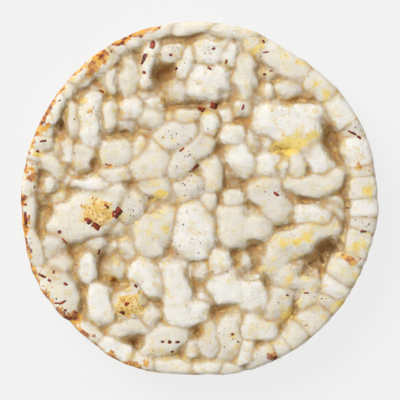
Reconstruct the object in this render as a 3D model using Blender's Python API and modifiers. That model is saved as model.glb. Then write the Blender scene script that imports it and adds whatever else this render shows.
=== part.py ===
"""Puffed rice cake: whole grains puffed and fused into one pressed disc.

The cake stands on its flat side at z = 0 with its axis along +Z.  Every grain is a
swollen, lobed puff.  The puffs are pressed between two flat plates and a slightly
uneven ring, then fused into one solid.  All sizes below are in millimetres.
"""
import math
import random

import bmesh
import bpy
from mathutils import Matrix, Vector

MM = 0.001

# The mould: two plates and a ring.
RING_RADIUS = 47.7
THICKNESS = 15.0
CORNER_RADIUS = 1.8
# Swells and flats of the ring: direction in degrees, half width in degrees, size.
RING_SWELLS = [(22, 16, 0.4), (58, 14, -0.9), (112, 16, 0.4), (150, 14, -0.3),
               (207, 11, 1.1), (244, 9, 0.5), (269, 9, -1.0), (355, 8, 0.6)]

# The fused middle of the cake, under the puffs that show.
CORE_RADIUS = 43.0
CORE_BOTTOM = 4.5
CORE_TOP = 9.0
CORE_SEGMENTS = 64
# The fused wall behind the rim puffs: its place inside the ring and its thickness.
WALL_INSET = 0.9
WALL_THICKNESS = 3.0
WALL_MARGIN = 2.2
WALL_SEGMENTS = 96

# The rim: a band of flattened puffs, wide on the +X side and narrow on the -X side.
RIM_WIDE = 8.5
RIM_NARROW = 5.0
RIM_WIDE_DIRECTION = -8.0
RIM_PUFF_LENGTH = 9.0
# Height of each row and height of its puffs.
RIM_ROWS = [(3.2, 7.0), (7.6, 6.5), (THICKNESS - 2.9, 7.5)]
# How far a rim puff is spread: along the ring, across the band, and past the ring.
RIM_OVERLAP = (1.25, 1.55)
RIM_SPREAD = 1.25
RIM_PRESS = 0.8
# How unevenly the rim puffs sit: along the ring in puff lengths, and up or down.
RIM_DRIFT = 0.15
RIM_RISE = 0.5

# The large puffs of the upper face: x, y, length, width, heading, sink below the plate.
LARGE_PUFFS = [
    (25, 21.5, 18, 10, 0, 0.0), (-30, -4, 17, 10.5, 20, -0.5), (-1.5, -8, 14, 11, 90, 0.0),
    (28, -10.5, 19, 7.5, 19, 0.0), (26, -20.5, 12, 8, -12, 0.4), (31, 4.5, 15, 7.5, 22, 0.0),
    (-4, 13, 17, 9, 40, 0.5), (2.5, 31.5, 11, 9, 0, 0.0), (3, 40, 10, 8, 20, 0.2),
    (12, 31, 16, 6.5, 92, 0.6), (-18, 34, 12, 6.5, 90, 0.8), (-13, 37, 13, 5, 80, 0.0),
    (-29, 20, 13, 7, 100, 0.8), (-22, 12.5, 10, 8.5, 10, 0.9), (-13, 9, 11, 10, 0, 0.2),
    (10.5, 13, 12, 8, -70, 0.6), (19.5, 1, 12, 9, -55, 0.4), (10, -7, 13, 9, 100, 0.4),
    (-11, -7, 14, 8, 30, 0.4), (-14, -20.5, 12, 7.5, -60, 0.4), (-6, -24, 16, 8, -75, 0.0),
    (10.5, -24, 15, 9.5, -10, 0.3), (-26.7, -28, 12, 8, 95, 0.6), (-18, -33, 12, 7, 5, 0.8),
    (-8.5, -37.5, 13, 8, 20, 0.2), (8.3, -36, 13, 7, 85, 0.4), (16.5, -34.5, 11, 7, 0, 0.8),
    (-37.5, -18, 10, 8, 40, 1.2), (-39, 9, 10, 7, -40, 1.0), (21.5, -28, 10, 7, 70, 0.8),
    (25, 31, 9, 7, 30, 2.0), (33, 11, 9, 7, -60, 0.4),
]
# How much wider than its outline a puff is where its neighbours hide it.
LARGE_SPREAD = 1.12
# The open hollows of the upper face: x, y, radius.
HOLLOWS = [(-8.5, 30.5, 4.4), (35.5, 16.5, 3.8), (33.5, -16.5, 4.2), (28, 26.5, 2.4),
           (-22.5, -19.5, 3.6), (0.5, -26, 2.8), (-18, -39, 2.8), (-37.5, 19, 3.0)]
HOLLOW_CLEARANCE = 2.2

# The smaller puffs that fill both faces, and the puffs under them.
FILL_SPACING = 6.4
FILL_LENGTH = (7.5, 10.5)
FILL_WIDTH = (6.0, 8.0)
LOWER_LENGTH = (9.0, 13.0)
LOWER_WIDTH = (7.5, 9.5)
FILL_SINK = (0.3, 1.8)
UNDER_SINK = (3.6, 5.2)
LOWER_SINK = (-0.8, 1.2)
LOWER_UNDER_SINK = (2.4, 3.4)
FILL_RADIUS = RING_RADIUS - 6.5
FILL_CLEARANCE = 1.5
FILL_TRIES = 4000

# The flat pad at the centre of the lower face, which the cake is measured from.
PAD_RADIUS = 7.5
PAD_PRESS = 2.0

# How far the top of a large puff and of a fill puff would stand past the plate.
LARGE_PRESS = 1.2
FILL_PRESS = 0.9

# The shape of a puff: its height, how deep its waist is, and how long, in half lengths.
PUFF_HEIGHT = 9.0
WAIST_DEPTH = 0.13
WAIST_LENGTH = 0.3
PUFF_SEGMENTS = 20
PUFF_RINGS = 12

# Fusing: voxel size, smoothing, the triangles that are kept, and how near a plate a
# point has to lie to be set flat on it.
VOXEL = 0.75
SMOOTH_FACTOR = 0.5
SMOOTH_PASSES = 3
TRIANGLES = 9600
FLAT_SNAP = 0.30
SEED = 4

GRAIN_COLOUR = (0.76, 0.69, 0.54, 1.0)
GRAIN_ROUGHNESS = 0.85


def ring_radius(angle):
    """Radius of the ring in the direction of angle, in radians."""
    radius = RING_RADIUS
    for direction, half_width, size in RING_SWELLS:
        turn = math.degrees(angle) - direction
        turn = (turn + 180.0) % 360.0 - 180.0
        radius += size * math.exp(-(turn / half_width) ** 2)
    return radius


def pressed(point):
    """Move a point that lies outside the mould onto the mould's inner face."""
    x, y, z = point
    z = min(max(z, 0.0), THICKNESS)
    edge = min(z, THICKNESS - z)
    inset = 0.0
    if edge < CORNER_RADIUS:
        inset = CORNER_RADIUS - math.sqrt(CORNER_RADIUS ** 2 - (CORNER_RADIUS - edge) ** 2)
    radius = math.hypot(x, y)
    limit = ring_radius(math.atan2(y, x)) - inset
    if radius > limit:
        x *= limit / radius
        y *= limit / radius
    return Vector((x, y, z))


def unit_puff():
    """A ball of radius 1, which every puff is shaped from."""
    bm = bmesh.new()
    bmesh.ops.create_uvsphere(bm, u_segments=PUFF_SEGMENTS, v_segments=PUFF_RINGS,
                              radius=1.0)
    mesh = bpy.data.meshes.new("unit_puff")
    bm.to_mesh(mesh)
    bm.free()
    return mesh


def add_puff(bm, x, y, z, length, width, heading, height=PUFF_HEIGHT):
    """Add one puff: an ellipsoid with a shallow waist, pressed into the mould."""
    puff = unit_puff()
    turn = Matrix.Rotation(math.radians(heading), 3, "Z")
    for vert in puff.vertices:
        along, across, up = vert.co
        waist = 1.0 - WAIST_DEPTH * math.exp(-(along / WAIST_LENGTH) ** 2)
        local = Vector((along * length / 2, across * waist * width / 2, up * waist * height / 2))
        vert.co = pressed(turn @ local + Vector((x, y, z)))
    bm.from_mesh(puff)
    bpy.data.meshes.remove(puff)


def rim_band(angle):
    """Width of the rim band in the direction of angle, in radians."""
    lean = math.cos(angle - math.radians(RIM_WIDE_DIRECTION))
    return (RIM_WIDE + RIM_NARROW) / 2 + (RIM_WIDE - RIM_NARROW) / 2 * lean


def add_rim(bm, dice):
    """Stack rows of flattened puffs against the ring."""
    for z, height in RIM_ROWS:
        count = round(2 * math.pi * RING_RADIUS / RIM_PUFF_LENGTH)
        start = dice.uniform(0, 2 * math.pi)
        for index in range(count):
            angle = start + (index + dice.uniform(-RIM_DRIFT, RIM_DRIFT)) * 2 * math.pi / count
            width = rim_band(angle) * RIM_SPREAD
            middle = ring_radius(angle) + RIM_PRESS - width / 2
            length = RIM_PUFF_LENGTH * dice.uniform(*RIM_OVERLAP)
            add_puff(bm, middle * math.cos(angle), middle * math.sin(angle),
                     z + dice.uniform(-RIM_RISE, RIM_RISE), length, width,
                     math.degrees(angle) + 90, height)


def spots(dice, taken):
    """Scattered places for fill puffs, no closer than the fill spacing."""
    found = []
    for _ in range(FILL_TRIES):
        radius = FILL_RADIUS * math.sqrt(dice.random())
        angle = dice.uniform(0, 2 * math.pi)
        x, y = radius * math.cos(angle), radius * math.sin(angle)
        near = any(math.hypot(x - a, y - b) < FILL_SPACING for a, b in found)
        if not near and not taken(x, y):
            found.append((x, y))
    return found


def on_large_puff(x, y):
    """True where a large puff already lies under the point."""
    for px, py, length, width, heading, _ in LARGE_PUFFS:
        turn = math.radians(heading)
        along = (x - px) * math.cos(turn) + (y - py) * math.sin(turn)
        across = (y - py) * math.cos(turn) - (x - px) * math.sin(turn)
        half_length = length / 2 + FILL_CLEARANCE
        half_width = width / 2 + FILL_CLEARANCE
        if (along / half_length) ** 2 + (across / half_width) ** 2 < 1:
            return True
    return False


def in_hollow(x, y):
    """True where the upper face is open."""
    return any(math.hypot(x - a, y - b) < radius + HOLLOW_CLEARANCE for a, b, radius in HOLLOWS)


def on_pad(x, y):
    """True over the flat pad of the lower face."""
    return math.hypot(x, y) < PAD_RADIUS


def add_fill(bm, dice, places, sink, up, lengths=FILL_LENGTH, widths=FILL_WIDTH):
    """Add a small puff at each place, reaching to within sink of a plate."""
    for x, y in places:
        drop = dice.uniform(*sink)
        middle = PUFF_HEIGHT / 2 + drop - FILL_PRESS
        z = THICKNESS - middle if up else middle
        add_puff(bm, x, y, z, dice.uniform(*lengths), dice.uniform(*widths),
                 dice.uniform(0, 180))


def add_upper_face(bm, dice):
    """Large puffs, the fill between them, and the deeper puffs in the hollows."""
    for x, y, length, width, heading, sink in LARGE_PUFFS:
        z = THICKNESS - PUFF_HEIGHT / 2 + LARGE_PRESS - sink
        add_puff(bm, x, y, z, length * LARGE_SPREAD, width * LARGE_SPREAD, heading)
    add_fill(bm, dice, spots(dice, lambda x, y: on_large_puff(x, y) or in_hollow(x, y)),
             FILL_SINK, True)
    add_fill(bm, dice, spots(dice, lambda x, y: False), UNDER_SINK, True)


def add_lower_face(bm, dice):
    """Fill puffs over the whole face, round the flat pad at its centre."""
    add_puff(bm, 0, 0, PUFF_HEIGHT / 2 - PAD_PRESS, 2 * PAD_RADIUS, 2 * PAD_RADIUS, 0)
    add_fill(bm, dice, spots(dice, on_pad), LOWER_SINK, False, LOWER_LENGTH, LOWER_WIDTH)
    add_fill(bm, dice, spots(dice, on_pad), LOWER_UNDER_SINK, False)


def add_core(bm):
    """The solid middle that every puff is fused to."""
    made = bmesh.ops.create_cone(bm, cap_ends=True, segments=CORE_SEGMENTS,
                                 radius1=CORE_RADIUS, radius2=CORE_RADIUS,
                                 depth=CORE_TOP - CORE_BOTTOM)
    for vert in made["verts"]:
        vert.co.z += (CORE_TOP + CORE_BOTTOM) / 2


def add_wall(bm):
    """A fused band just inside the ring, so that the rim puffs join into one wall."""
    middle = RING_RADIUS - WALL_INSET - WALL_THICKNESS / 2
    bpy.ops.mesh.primitive_torus_add(major_segments=WALL_SEGMENTS, major_radius=middle,
                                     minor_radius=WALL_THICKNESS / 2)
    band = bpy.context.object
    stretch = (THICKNESS - 2 * WALL_MARGIN) / WALL_THICKNESS
    for vert in band.data.vertices:
        swell = ring_radius(math.atan2(vert.co.y, vert.co.x)) / RING_RADIUS
        vert.co = (vert.co.x * swell, vert.co.y * swell, vert.co.z * stretch + THICKNESS / 2)
    bm.from_mesh(band.data)
    bpy.data.objects.remove(band)


def evaluated_mesh(obj):
    """The object's mesh with its modifiers applied."""
    graph = bpy.context.evaluated_depsgraph_get()
    return bpy.data.meshes.new_from_object(obj.evaluated_get(graph))


def largest_body(bm):
    """Keep the outer body and drop any sealed pocket that the fusing left inside."""
    bm.verts.ensure_lookup_table()
    unseen = set(range(len(bm.verts)))
    bodies = []
    while unseen:
        stack = [unseen.pop()]
        body = []
        while stack:
            vert = bm.verts[stack.pop()]
            body.append(vert)
            for edge in vert.link_edges:
                other = edge.other_vert(vert).index
                if other in unseen:
                    unseen.discard(other)
                    stack.append(other)
        bodies.append(body)
    bodies.sort(key=len)
    for body in bodies[:-1]:
        bmesh.ops.delete(bm, geom=body, context="VERTS")


def reshaped(obj, change):
    """Run change on the object's mesh through a bmesh."""
    bm = bmesh.new()
    bm.from_mesh(obj.data)
    change(bm)
    bm.to_mesh(obj.data)
    bm.free()


def settle_flats(bm):
    """Put every point that all but touches a plate exactly on that plate."""
    for vert in bm.verts:
        vert.co = pressed(vert.co)
        if vert.co.z < FLAT_SNAP:
            vert.co.z = 0.0
        elif vert.co.z > THICKNESS - FLAT_SNAP:
            vert.co.z = THICKNESS


def fused(obj):
    """Fuse the loose puffs into one closed body of few triangles."""
    remesh = obj.modifiers.new("Fuse puffs", "REMESH")
    remesh.mode = "VOXEL"
    remesh.voxel_size = VOXEL
    obj.data = evaluated_mesh(obj)
    obj.modifiers.clear()
    reshaped(obj, largest_body)

    smooth = obj.modifiers.new("Soften seams", "SMOOTH")
    smooth.factor = SMOOTH_FACTOR
    smooth.iterations = SMOOTH_PASSES
    faces = 2 * len(obj.data.polygons)
    decimate = obj.modifiers.new("Few triangles", "DECIMATE")
    decimate.ratio = TRIANGLES / faces
    obj.data = evaluated_mesh(obj)
    obj.modifiers.clear()
    reshaped(obj, settle_flats)


def puffed_grain():
    """Dry cream-coloured puffed grain."""
    material = bpy.data.materials.new("puffed_grain")
    material.use_nodes = True
    shader = material.node_tree.nodes["Principled BSDF"]
    shader.inputs["Base Color"].default_value = GRAIN_COLOUR
    shader.inputs["Roughness"].default_value = GRAIN_ROUGHNESS
    shader.inputs["Metallic"].default_value = 0.0
    return material


def build():
    for obj in list(bpy.data.objects):
        bpy.data.objects.remove(obj)
    collection = bpy.data.collections.new("puffed_rice_cake")
    bpy.context.scene.collection.children.link(collection)

    dice = random.Random(SEED)
    bm = bmesh.new()
    add_core(bm)
    add_wall(bm)
    add_rim(bm, dice)
    add_upper_face(bm, dice)
    add_lower_face(bm, dice)
    mesh = bpy.data.meshes.new("rice_cake")
    bm.to_mesh(mesh)
    bm.free()

    cake = bpy.data.objects.new("rice_cake", mesh)
    collection.objects.link(cake)
    fused(cake)
    cake.data.transform(Matrix.Scale(MM, 4))
    cake.data.materials.clear()
    cake.data.materials.append(puffed_grain())


build()
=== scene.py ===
import math
import random

import bmesh
import bpy
import numpy as np
from mathutils import Matrix, Vector, noise
from mathutils.bvhtree import BVHTree


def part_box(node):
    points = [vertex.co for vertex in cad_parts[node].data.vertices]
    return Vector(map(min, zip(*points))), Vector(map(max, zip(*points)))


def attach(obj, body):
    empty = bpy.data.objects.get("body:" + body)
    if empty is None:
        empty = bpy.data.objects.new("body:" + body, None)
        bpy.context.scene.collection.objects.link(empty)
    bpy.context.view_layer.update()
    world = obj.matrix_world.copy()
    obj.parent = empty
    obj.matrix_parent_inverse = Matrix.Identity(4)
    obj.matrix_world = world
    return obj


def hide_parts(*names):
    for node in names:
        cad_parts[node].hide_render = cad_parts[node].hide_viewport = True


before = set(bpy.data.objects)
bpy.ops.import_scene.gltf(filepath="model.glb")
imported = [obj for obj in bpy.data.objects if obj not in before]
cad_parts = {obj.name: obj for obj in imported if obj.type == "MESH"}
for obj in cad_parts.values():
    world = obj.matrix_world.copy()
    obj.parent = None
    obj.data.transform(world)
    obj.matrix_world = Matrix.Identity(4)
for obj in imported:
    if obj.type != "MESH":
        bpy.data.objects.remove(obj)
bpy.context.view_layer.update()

mm = 0.001
cakeLow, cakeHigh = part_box("rice_cake")
thickness = (cakeHigh.z - cakeLow.z) / mm
farAway = 9.0                 # stands for nothing near, in millimetres
bendCentre = 0.3              # keeps a bent puff about its own middle

# The mould that the grains puffed up in: two plates and a ring, all in millimetres.
mould = {
    "ringRadius": 47.7,
    "cornerRadius": 1.7,
    "softness": 1.0,          # how roundly a puff flattens where it meets a plate
    # where the outline bulges or draws in: direction, half width in degrees, how far
    "swells": [(22, 16, 0.4), (58, 14, -0.9), (112, 16, 0.4), (150, 14, -0.3),
               (207, 11, 1.1), (244, 9, 0.5), (269, 9, -1.0), (355, 8, 0.6)],
}

# The rim, clockwise seen from above: direction, length along the rim, width of the band
# that shows, sink below the plate, finish.
rimPuffs = [
    (104, 11, 3.4, 0.1, "cream"), (92.5, 11, 3.2, 0.1, "cream"), (80, 11, 3.4, 0.1, "cream"),
    (70, 8, 6.5, 0.4, "golden"), (57.5, 13, 6.4, 0.0, "cream"), (44.5, 11, 6.0, 0.1, "cream"),
    (33.5, 9.5, 6.6, 0.1, "white"), (24.5, 6.5, 6.0, 0.3, "pressed"),
    (16.5, 8, 7.4, 0.0, "white"), (10.5, 5, 7.2, 0.2, "cream"), (4.3, 7, 7.4, 0.1, "cream"),
    (-2, 6, 7.4, 0.1, "white"), (-8.2, 5.4, 7.2, 0.2, "pressed"), (-14.6, 7, 6.8, 0.1, "golden"),
    (-20.4, 6, 6.4, 0.2, "cream"), (-26.4, 7, 8.2, 0.1, "golden"), (-32.6, 7, 8.4, 0.2, "white"),
    (-39, 7, 7.4, 0.3, "golden"), (-46, 8, 7.2, 0.1, "cream"), (-53.6, 7, 6.8, 0.2, "golden"),
    (-60.6, 6.6, 5.6, 0.4, "cream"), (-67.6, 7, 5.6, 0.3, "pressed"),
    (-80.5, 5.5, 3.4, 0.5, "cream"), (-88.5, 9, 3.4, 0.2, "white"), (-99, 11, 3.8, 0.1, "cream"),
    (-109, 7.5, 3.8, 0.2, "cream"), (-119, 10, 4.6, 0.2, "white"), (-128.6, 8, 4.4, 0.5, "cream"),
    (-147.5, 9.5, 8.0, -0.1, "cream"), (-157, 6, 3.8, 0.6, "golden"),
    (-165.5, 9.5, 3.9, 0.2, "cream"), (-176, 9.5, 3.9, 0.2, "cream"),
    (173.5, 10, 3.9, 0.1, "cream"), (165.3, 6, 3.9, 0.4, "white"),
    (160.2, 4.6, 5.4, 0.2, "pressed"), (155.2, 5, 4.6, 0.4, "golden"),
    (148.5, 9, 3.6, 0.0, "white"), (141, 6.5, 3.6, 0.3, "golden"),
    (132.6, 7.5, 3.6, 0.2, "golden"), (125.2, 8, 5.2, 0.1, "golden"),
    (118.2, 6.5, 4.6, 0.3, "cream"), (112.4, 5.4, 4.4, 0.2, "golden"),
]

# The puffs of the upper face: x, y, length, width, heading, sink below the plate, finish.
# A row with more than one puff is one grain that burst into several lobes, and an eighth
# value bends a puff.
facePuffs = [
    # upper left
    [(-23.6, 32.4, 9, 5.6, 90, 1.1, "cream")],
    [(-18.4, 33.2, 12, 6.2, 90, 0.7, "cream")],
    [(-13.3, 36.4, 13.5, 4.8, 78, -0.2, "white")],
    [(-27.3, 29.4, 6, 3.6, -30, 1.9, "pressed")],
    [(-30.6, 31.8, 8, 4.2, 36, 1.0, "pressed")],
    [(-33.5, 22, 11, 4.4, 96, 0.8, "cream")],
    [(-29.4, 19.4, 13, 6.8, 101, 0.3, "white"), (-28, 26.2, 7, 5.4, 115, 0.9, "cream")],
    [(-23.6, 22.4, 9, 4.4, 84, 0.8, "cream")],
    [(-18.2, 24.6, 8, 7, 25, 0.5, "white")],
    [(-13.2, 22.2, 8.4, 5.6, -12, 0.6, "cream")],
    [(-14.6, 28, 6.2, 4.8, 20, 1.5, "golden")],
    [(-8, 21.4, 5.6, 5, 30, 1.5, "cream")],
    [(-6.6, 29.6, 7.6, 5.6, 75, 2.6, "pressed")],
    [(-10.6, 28.0, 5.0, 4.2, 110, 3.0, "golden")],
    # top middle
    [(-6.8, 39.6, 7.4, 5.4, 30, 0.2, "pressed")],
    [(-3, 37.2, 9.4, 4.4, 64, 0.1, "white")],
    [(2.9, 40.1, 10.4, 8.2, 8, -0.1, "white")],
    [(2.6, 31.6, 11.4, 9.2, 0, -0.2, "white")],
    [(8.2, 38.8, 7.6, 4.6, 82, 0.2, "white")],
    [(12.4, 33.2, 14, 6.3, 92, 0.2, "cream")],
    [(11.6, 24.8, 6.2, 5.8, 90, 0.5, "cream")],
    [(3, 20.4, 7.6, 5.2, 90, 0.8, "white")],
    [(-3, 22, 7.6, 4.4, 12, 0.8, "cream")],
    [(6.9, 26, 5.5, 3.0, 88, 2.8, "golden")],
    # upper right
    [(24.8, 30.6, 10.2, 8, 55, 0.9, "pressed")],
    [(18.4, 28.6, 6.6, 4.8, 85, 1.0, "cream")],
    [(19, 34.2, 6.4, 5.6, 0, 1.7, "golden")],
    [(31.2, 29, 4, 4, 0, 0.9, "cream")],
    [(24.6, 21.4, 19.5, 10.2, -3, -0.5, "white"), (27, 16, 13, 7, -20, 0.2, "golden")],
    [(18.4, 9.4, 7.4, 7, 0, 0.1, "white")],
    [(22.4, 8.6, 5, 4.2, 70, 0.3, "white")],
    [(26.2, 9.8, 7.4, 5.4, 85, 0.2, "golden")],
    [(32, 11.4, 10.5, 6.8, -58, -0.1, "white")],
    [(31, 4.3, 18, 6.8, 9, -0.1, "cream", 2.4)],
    [(36.6, -0.8, 8.6, 5, -20, 1.7, "cream")],
    [(14, 15.6, 8, 6, -65, 1.0, "cream")],
    [(9.2, 17.4, 7.8, 7.2, 90, 0.4, "white")],
    [(11.6, 11, 10.5, 7.8, -58, 0.3, "white")],
    # right of the middle
    [(19.4, -0.7, 12.5, 8.6, -56, 0.0, "pressed"), (17.8, 3.8, 9.6, 5.6, 18, 0.3, "pressed")],
    [(30.2, -4, 10.5, 7, -14, 0.2, "white")],
    [(28, -10.6, 20, 7.4, 19, -0.2, "golden"), (20, -16, 8.6, 6.8, 75, 0.2, "white"),
     (25, -20.4, 9.6, 7.2, -4, 0.1, "white"), (29, -22, 8.6, 7.4, -55, 0.2, "cream"),
     (29.6, -26.4, 7.6, 6.4, 80, 0.5, "pressed")],
    [(31, -14.2, 6.4, 4.2, 14, 3.2, "pressed")],
    [(9.4, 0.2, 7.6, 5.4, 12, 1.1, "cream")],
    [(9.4, 4.6, 5.6, 4.6, 0, 2.8, "golden")],
    [(9.2, -7, 12.4, 9.2, 96, 0.2, "cream"), (15.8, -7.2, 9.4, 8.4, 0, 0.3, "cream")],
    # left
    [(-39, 9.6, 10.5, 6.6, -45, 0.8, "cream")],
    [(-40.4, 3.6, 6.4, 5.6, 60, 1.1, "cream")],
    [(-35.6, 13.6, 10.4, 5.8, 84, 0.9, "white")],
    [(-30.6, 11.6, 9, 7, 92, 0.5, "cream")],
    [(-21.8, 12.5, 10.4, 8.8, 14, 0.6, "cream")],
    [(-22.4, 6.8, 9.6, 5.2, 4, 0.6, "cream")],
    [(-28.6, 4.2, 11.4, 4.8, -8, 0.4, "white")],
    [(-31, -4.6, 17, 10.6, 20, -0.6, "cream"), (-23.6, 0.8, 10, 7, 12, 0.0, "cream")],
    [(-17.8, -1.4, 9.4, 8.8, 90, 0.6, "pressed")],
    [(-38.6, -11.6, 11.4, 7.6, 40, 1.0, "pressed")],
    [(-30.8, -13, 8.6, 6.6, 8, 2.7, "pressed")],
    [(-22.6, -12.4, 7, 6, 20, 2.3, "cream")],
    [(-37.4, -18.6, 10, 8.6, 60, 0.8, "cream")],
    [(-29.8, -18.8, 10.4, 5.8, 92, 0.9, "white")],
    [(-26.6, -28, 11.8, 7.8, 96, 0.2, "white")],
    [(-22.2, -18.8, 7.4, 6.4, 80, 2.6, "cream")],
    # middle
    [(-15.8, 13.6, 7.4, 5.4, 80, 0.7, "cream")],
    [(-5.8, 17.2, 11.6, 8.4, 24, -0.2, "pressed")],
    [(-2.6, 11.8, 16.5, 7, 44, 0.0, "pressed")],
    [(-12.8, 9.8, 11.6, 9.8, 60, 0.1, "cream")],
    [(-11.6, 4, 10.6, 6.6, -28, 0.3, "golden")],
    [(-2.4, 3, 8.6, 7.4, 30, 0.0, "pressed")],
    [(3.6, 6.8, 10.5, 6.2, 90, 0.3, "cream")],
    [(2.6, -1, 7.4, 5.4, 88, 0.6, "cream")],
    [(-1.6, -8, 15.5, 11.8, 90, -0.2, "white")],
    [(-11.4, -7, 14.6, 8.4, 30, 0.1, "golden"), (-12.6, -12.2, 9.4, 7.2, 0, 0.3, "cream")],
    [(-14, -20.4, 12.6, 7.6, -58, 0.1, "white")],
    [(-7, -20.6, 11, 7.6, -74, 0.0, "white"), (-5.3, -26, 9.6, 7.6, -66, 0.0, "cream"),
     (-3.4, -30.4, 12.4, 7.8, 6, 0.0, "cream")],
    [(0.6, -19.4, 6.8, 5.4, 88, 1.3, "cream")],
    [(5.6, -16.4, 7.8, 7.2, 90, 0.6, "white")],
    [(7.4, -23.6, 9.6, 9.4, 0, 0.1, "white"), (14, -25.4, 10.4, 9.4, -66, 0.1, "cream")],
    [(12.6, -16.4, 6.4, 5.4, 88, 2.0, "pressed")],
    # lower left and lower middle
    [(-18.6, -28, 8.6, 8, 0, 0.1, "golden"), (-16.6, -23.6, 5, 2.6, 110, 0.4, "golden")],
    [(-18, -34.2, 13, 6.2, 5, 0.5, "cream")],
    [(-12.8, -31.6, 7.6, 6.4, 60, 0.6, "cream")],
    [(-8.9, -37.4, 13.6, 8.2, 18, 0.0, "cream")],
    [(-1.8, -39.6, 6.6, 5, 88, 0.7, "cream")],
    [(2.8, -38.6, 9.4, 6.2, 92, 0.3, "pressed"), (3, -34, 7.4, 5.8, 60, 1.1, "cream")],
    [(8.4, -36, 13.8, 6.8, 84, 0.0, "cream")],
    [(16.2, -34.6, 11.6, 7.2, -10, 0.2, "white"), (14.6, -31.2, 7, 4.6, 10, 0.9, "golden")],
    [(12.6, -41.4, 9.6, 6.4, 88, 0.2, "white")],
    [(21.4, -27.6, 10.6, 7.4, 68, 0.4, "pressed")],
    [(20.8, -33.4, 6.6, 5.4, 60, 1.5, "cream")],
]

# The open hollows and grooves of the upper face: x, y, length, width, heading, depth.
hollows = [
    (-9.4, 33.6, 6.0, 7.0, 8, 5.2), (35.6, 16.2, 13.5, 5.2, -66, 6.5), (34.4, -14, 9, 7.6, 75, 6.5),
    (30.6, -17.6, 9, 4.2, 30, 5.5), (-20.5, 17.6, 8, 2.6, 6, 4.5), (-37.4, 20.6, 9, 4, 106, 4.5),
    (-40.2, -2.8, 5.5, 4, 90, 3.4), (-22.8, -22.4, 5.0, 4, 90, 4.5), (-32.4, -26, 9, 3, 95, 4.5),
    (-17.8, -38.8, 7.4, 5, 25, 5.5), (6, -29.7, 8, 2.8, 18, 4.5),
    (-0.6, -35.4, 3.4, 3, 0, 4.5), (26.5, 26.5, 14, 2.4, 2, 4.5), (18.8, 38.2, 4.4, 4, 0, 4.0),
    (-27.8, 9.4, 3.4, 3, 90, 4.5), (28, 0.2, 12, 2.4, -20, 4.0),
    (10.2, 21.3, 8, 2.4, -6, 3.8), (-33.2, -31.2, 4.4, 4, 0, 3.5), (6.4, 26, 6, 2, 88, 3.5),
    (-42.6, -1.5, 22, 2.0, 92, 3.2), (40.2, 1, 24, 1.5, 91, 2.4), (-3, 43.2, 16, 1.6, 3, 3.0),
    (-38.8, 17, 12, 1.6, 112, 3.0), (10, -14.4, 3, 2.6, 0, 4.0), (14.4, -20.6, 8, 1.5, -5, 2.6),
    (34, 27, 5, 1.8, -50, 2.6), (24, -31.6, 5, 1.6, 55, 2.6), (-10, -43, 16, 1.4, 0, 2.6),
    (-30, 6.8, 6, 1.6, -6, 2.4), (-7.8, -14, 4, 1.6, -40, 2.4), (-32.6, 27.4, 4.5, 1.6, 60, 2.6),
]

# The hidden puffs: small ones between and under those of a face, and rows against the ring.
filling = {
    "seed": 11,
    "between": {"spacing": 5.8, "length": (7.5, 10.5), "width": (6.5, 9.0), "sink": (1.9, 3.0)},
    "under": {"spacing": 5.6, "length": (6.5, 10.0), "width": (5.5, 8.0), "sink": (4.4, 6.0)},
    "radius": 44.5,
    "darts": 6000,
    "wallRows": [(3.0, 7.4), (7.4, 6.6)],      # height of the row, height of its puffs
    "wallLength": (6.5, 12.0),
    "wallWidth": (6.5, 8.5),
    "wallTilt": 16,
}

# How the puffs are shaped and fused.
shaping = {
    "edgeRadius": 7.0,        # how roundly a puff falls away at its outline
    "overlap": 3.8,           # how far neighbours were pressed into one another
    "deepOverlap": 0.3,       # share of it that the deepest puffs have
    "flank": 3.2,             # slope under the outline
    "dome": 1.1,
    "swell": 0.6,             # how far a puff would rise past the plate
    "crown": 1.9,             # how gently the tops flatten under the plate
    "sinkScale": 1.15,        # stretches the sinks of the puffs that show
    "squareness": 2.5,        # 2 would make the outlines ellipses
    "wander": 0.6,            # how far the outlines wander from side to side
    "wanderWave": 5.5,
    "grainBlend": 0.22,
    "lobeBlend": 0.5,         # lobes of one grain run together
    "foldGap": 1.4,           # how much fainter the fold between them is than a seam
    "reach": 3.0,             # how far past its ends a puff is felt
    "gridStep": 0.34,
    "faceRadius": 45.6,
    "lowerTurn": 137.0,       # the lower face is laid out like the upper one, mirrored and turned
    "lowerDepth": 0.7,
    "backs": (0.35, 0.6),     # where the upper and the lower block end, as shares of the height
    "bluntness": 2.15,        # of the puffs against the ring
    "fullness": 2.3,
    "lumps": 0.05,
    "waist": 0.07,
    "segments": 30,
    "rings": 18,
    "voxel": 0.38,
    "smoothing": 3,
    "triangles": 196000,
}
finishNames = ["cream", "white", "golden", "pressed"]

# The sinks at which a layer of puffs ends: the tops, the ones that show, those part way down.
layers = {"tops": 2.4, "shown": 3.0, "middle": 4.0}

# The sides of a hollow: their slope, and how far outside its outline they start.
hollowSides = {
    "steep": (3.4, 0.3),      # where it cuts puffs part way down
    "gentle": (2.2, 0.8),     # where the tops round off into it
    "mouth": 1.4,             # height of the start above the plate
    "blend": 1.0,
    "below": 0.3,             # how far under the sides the deeper puffs stay
    "clear": 3.0,             # height that stands for no limit
}

# The puffs against the ring: those of the rim, then those of the wall under it.
ringRow = {
    "band": (1.1, 2.4),       # width: its share of the band that shows, and what lies under
    "past": 1.6,              # how far a rim puff would swell past the ring
    "height": (7.6, 9.0),
    "sinkScale": 1.5,
    "stretch": 2.0,           # how far rim puffs run into their neighbours
    "curve": 130,             # the smaller, the more they bend with the ring
    "wallPast": (0.2, 1.3),
    "wallStretch": 1.25,
    "wallCurve": 400,
}


def ringRadius(angle):
    # the ring is a little uneven, so the cake isn't quite round
    radius = np.full(np.shape(angle), mould["ringRadius"])
    for direction, halfWidth, size in mould["swells"]:
        turn = (np.degrees(angle) - direction + 180.0) % 360.0 - 180.0
        radius = radius + size * np.exp(-(turn / halfWidth) ** 2)
    return radius


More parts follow.
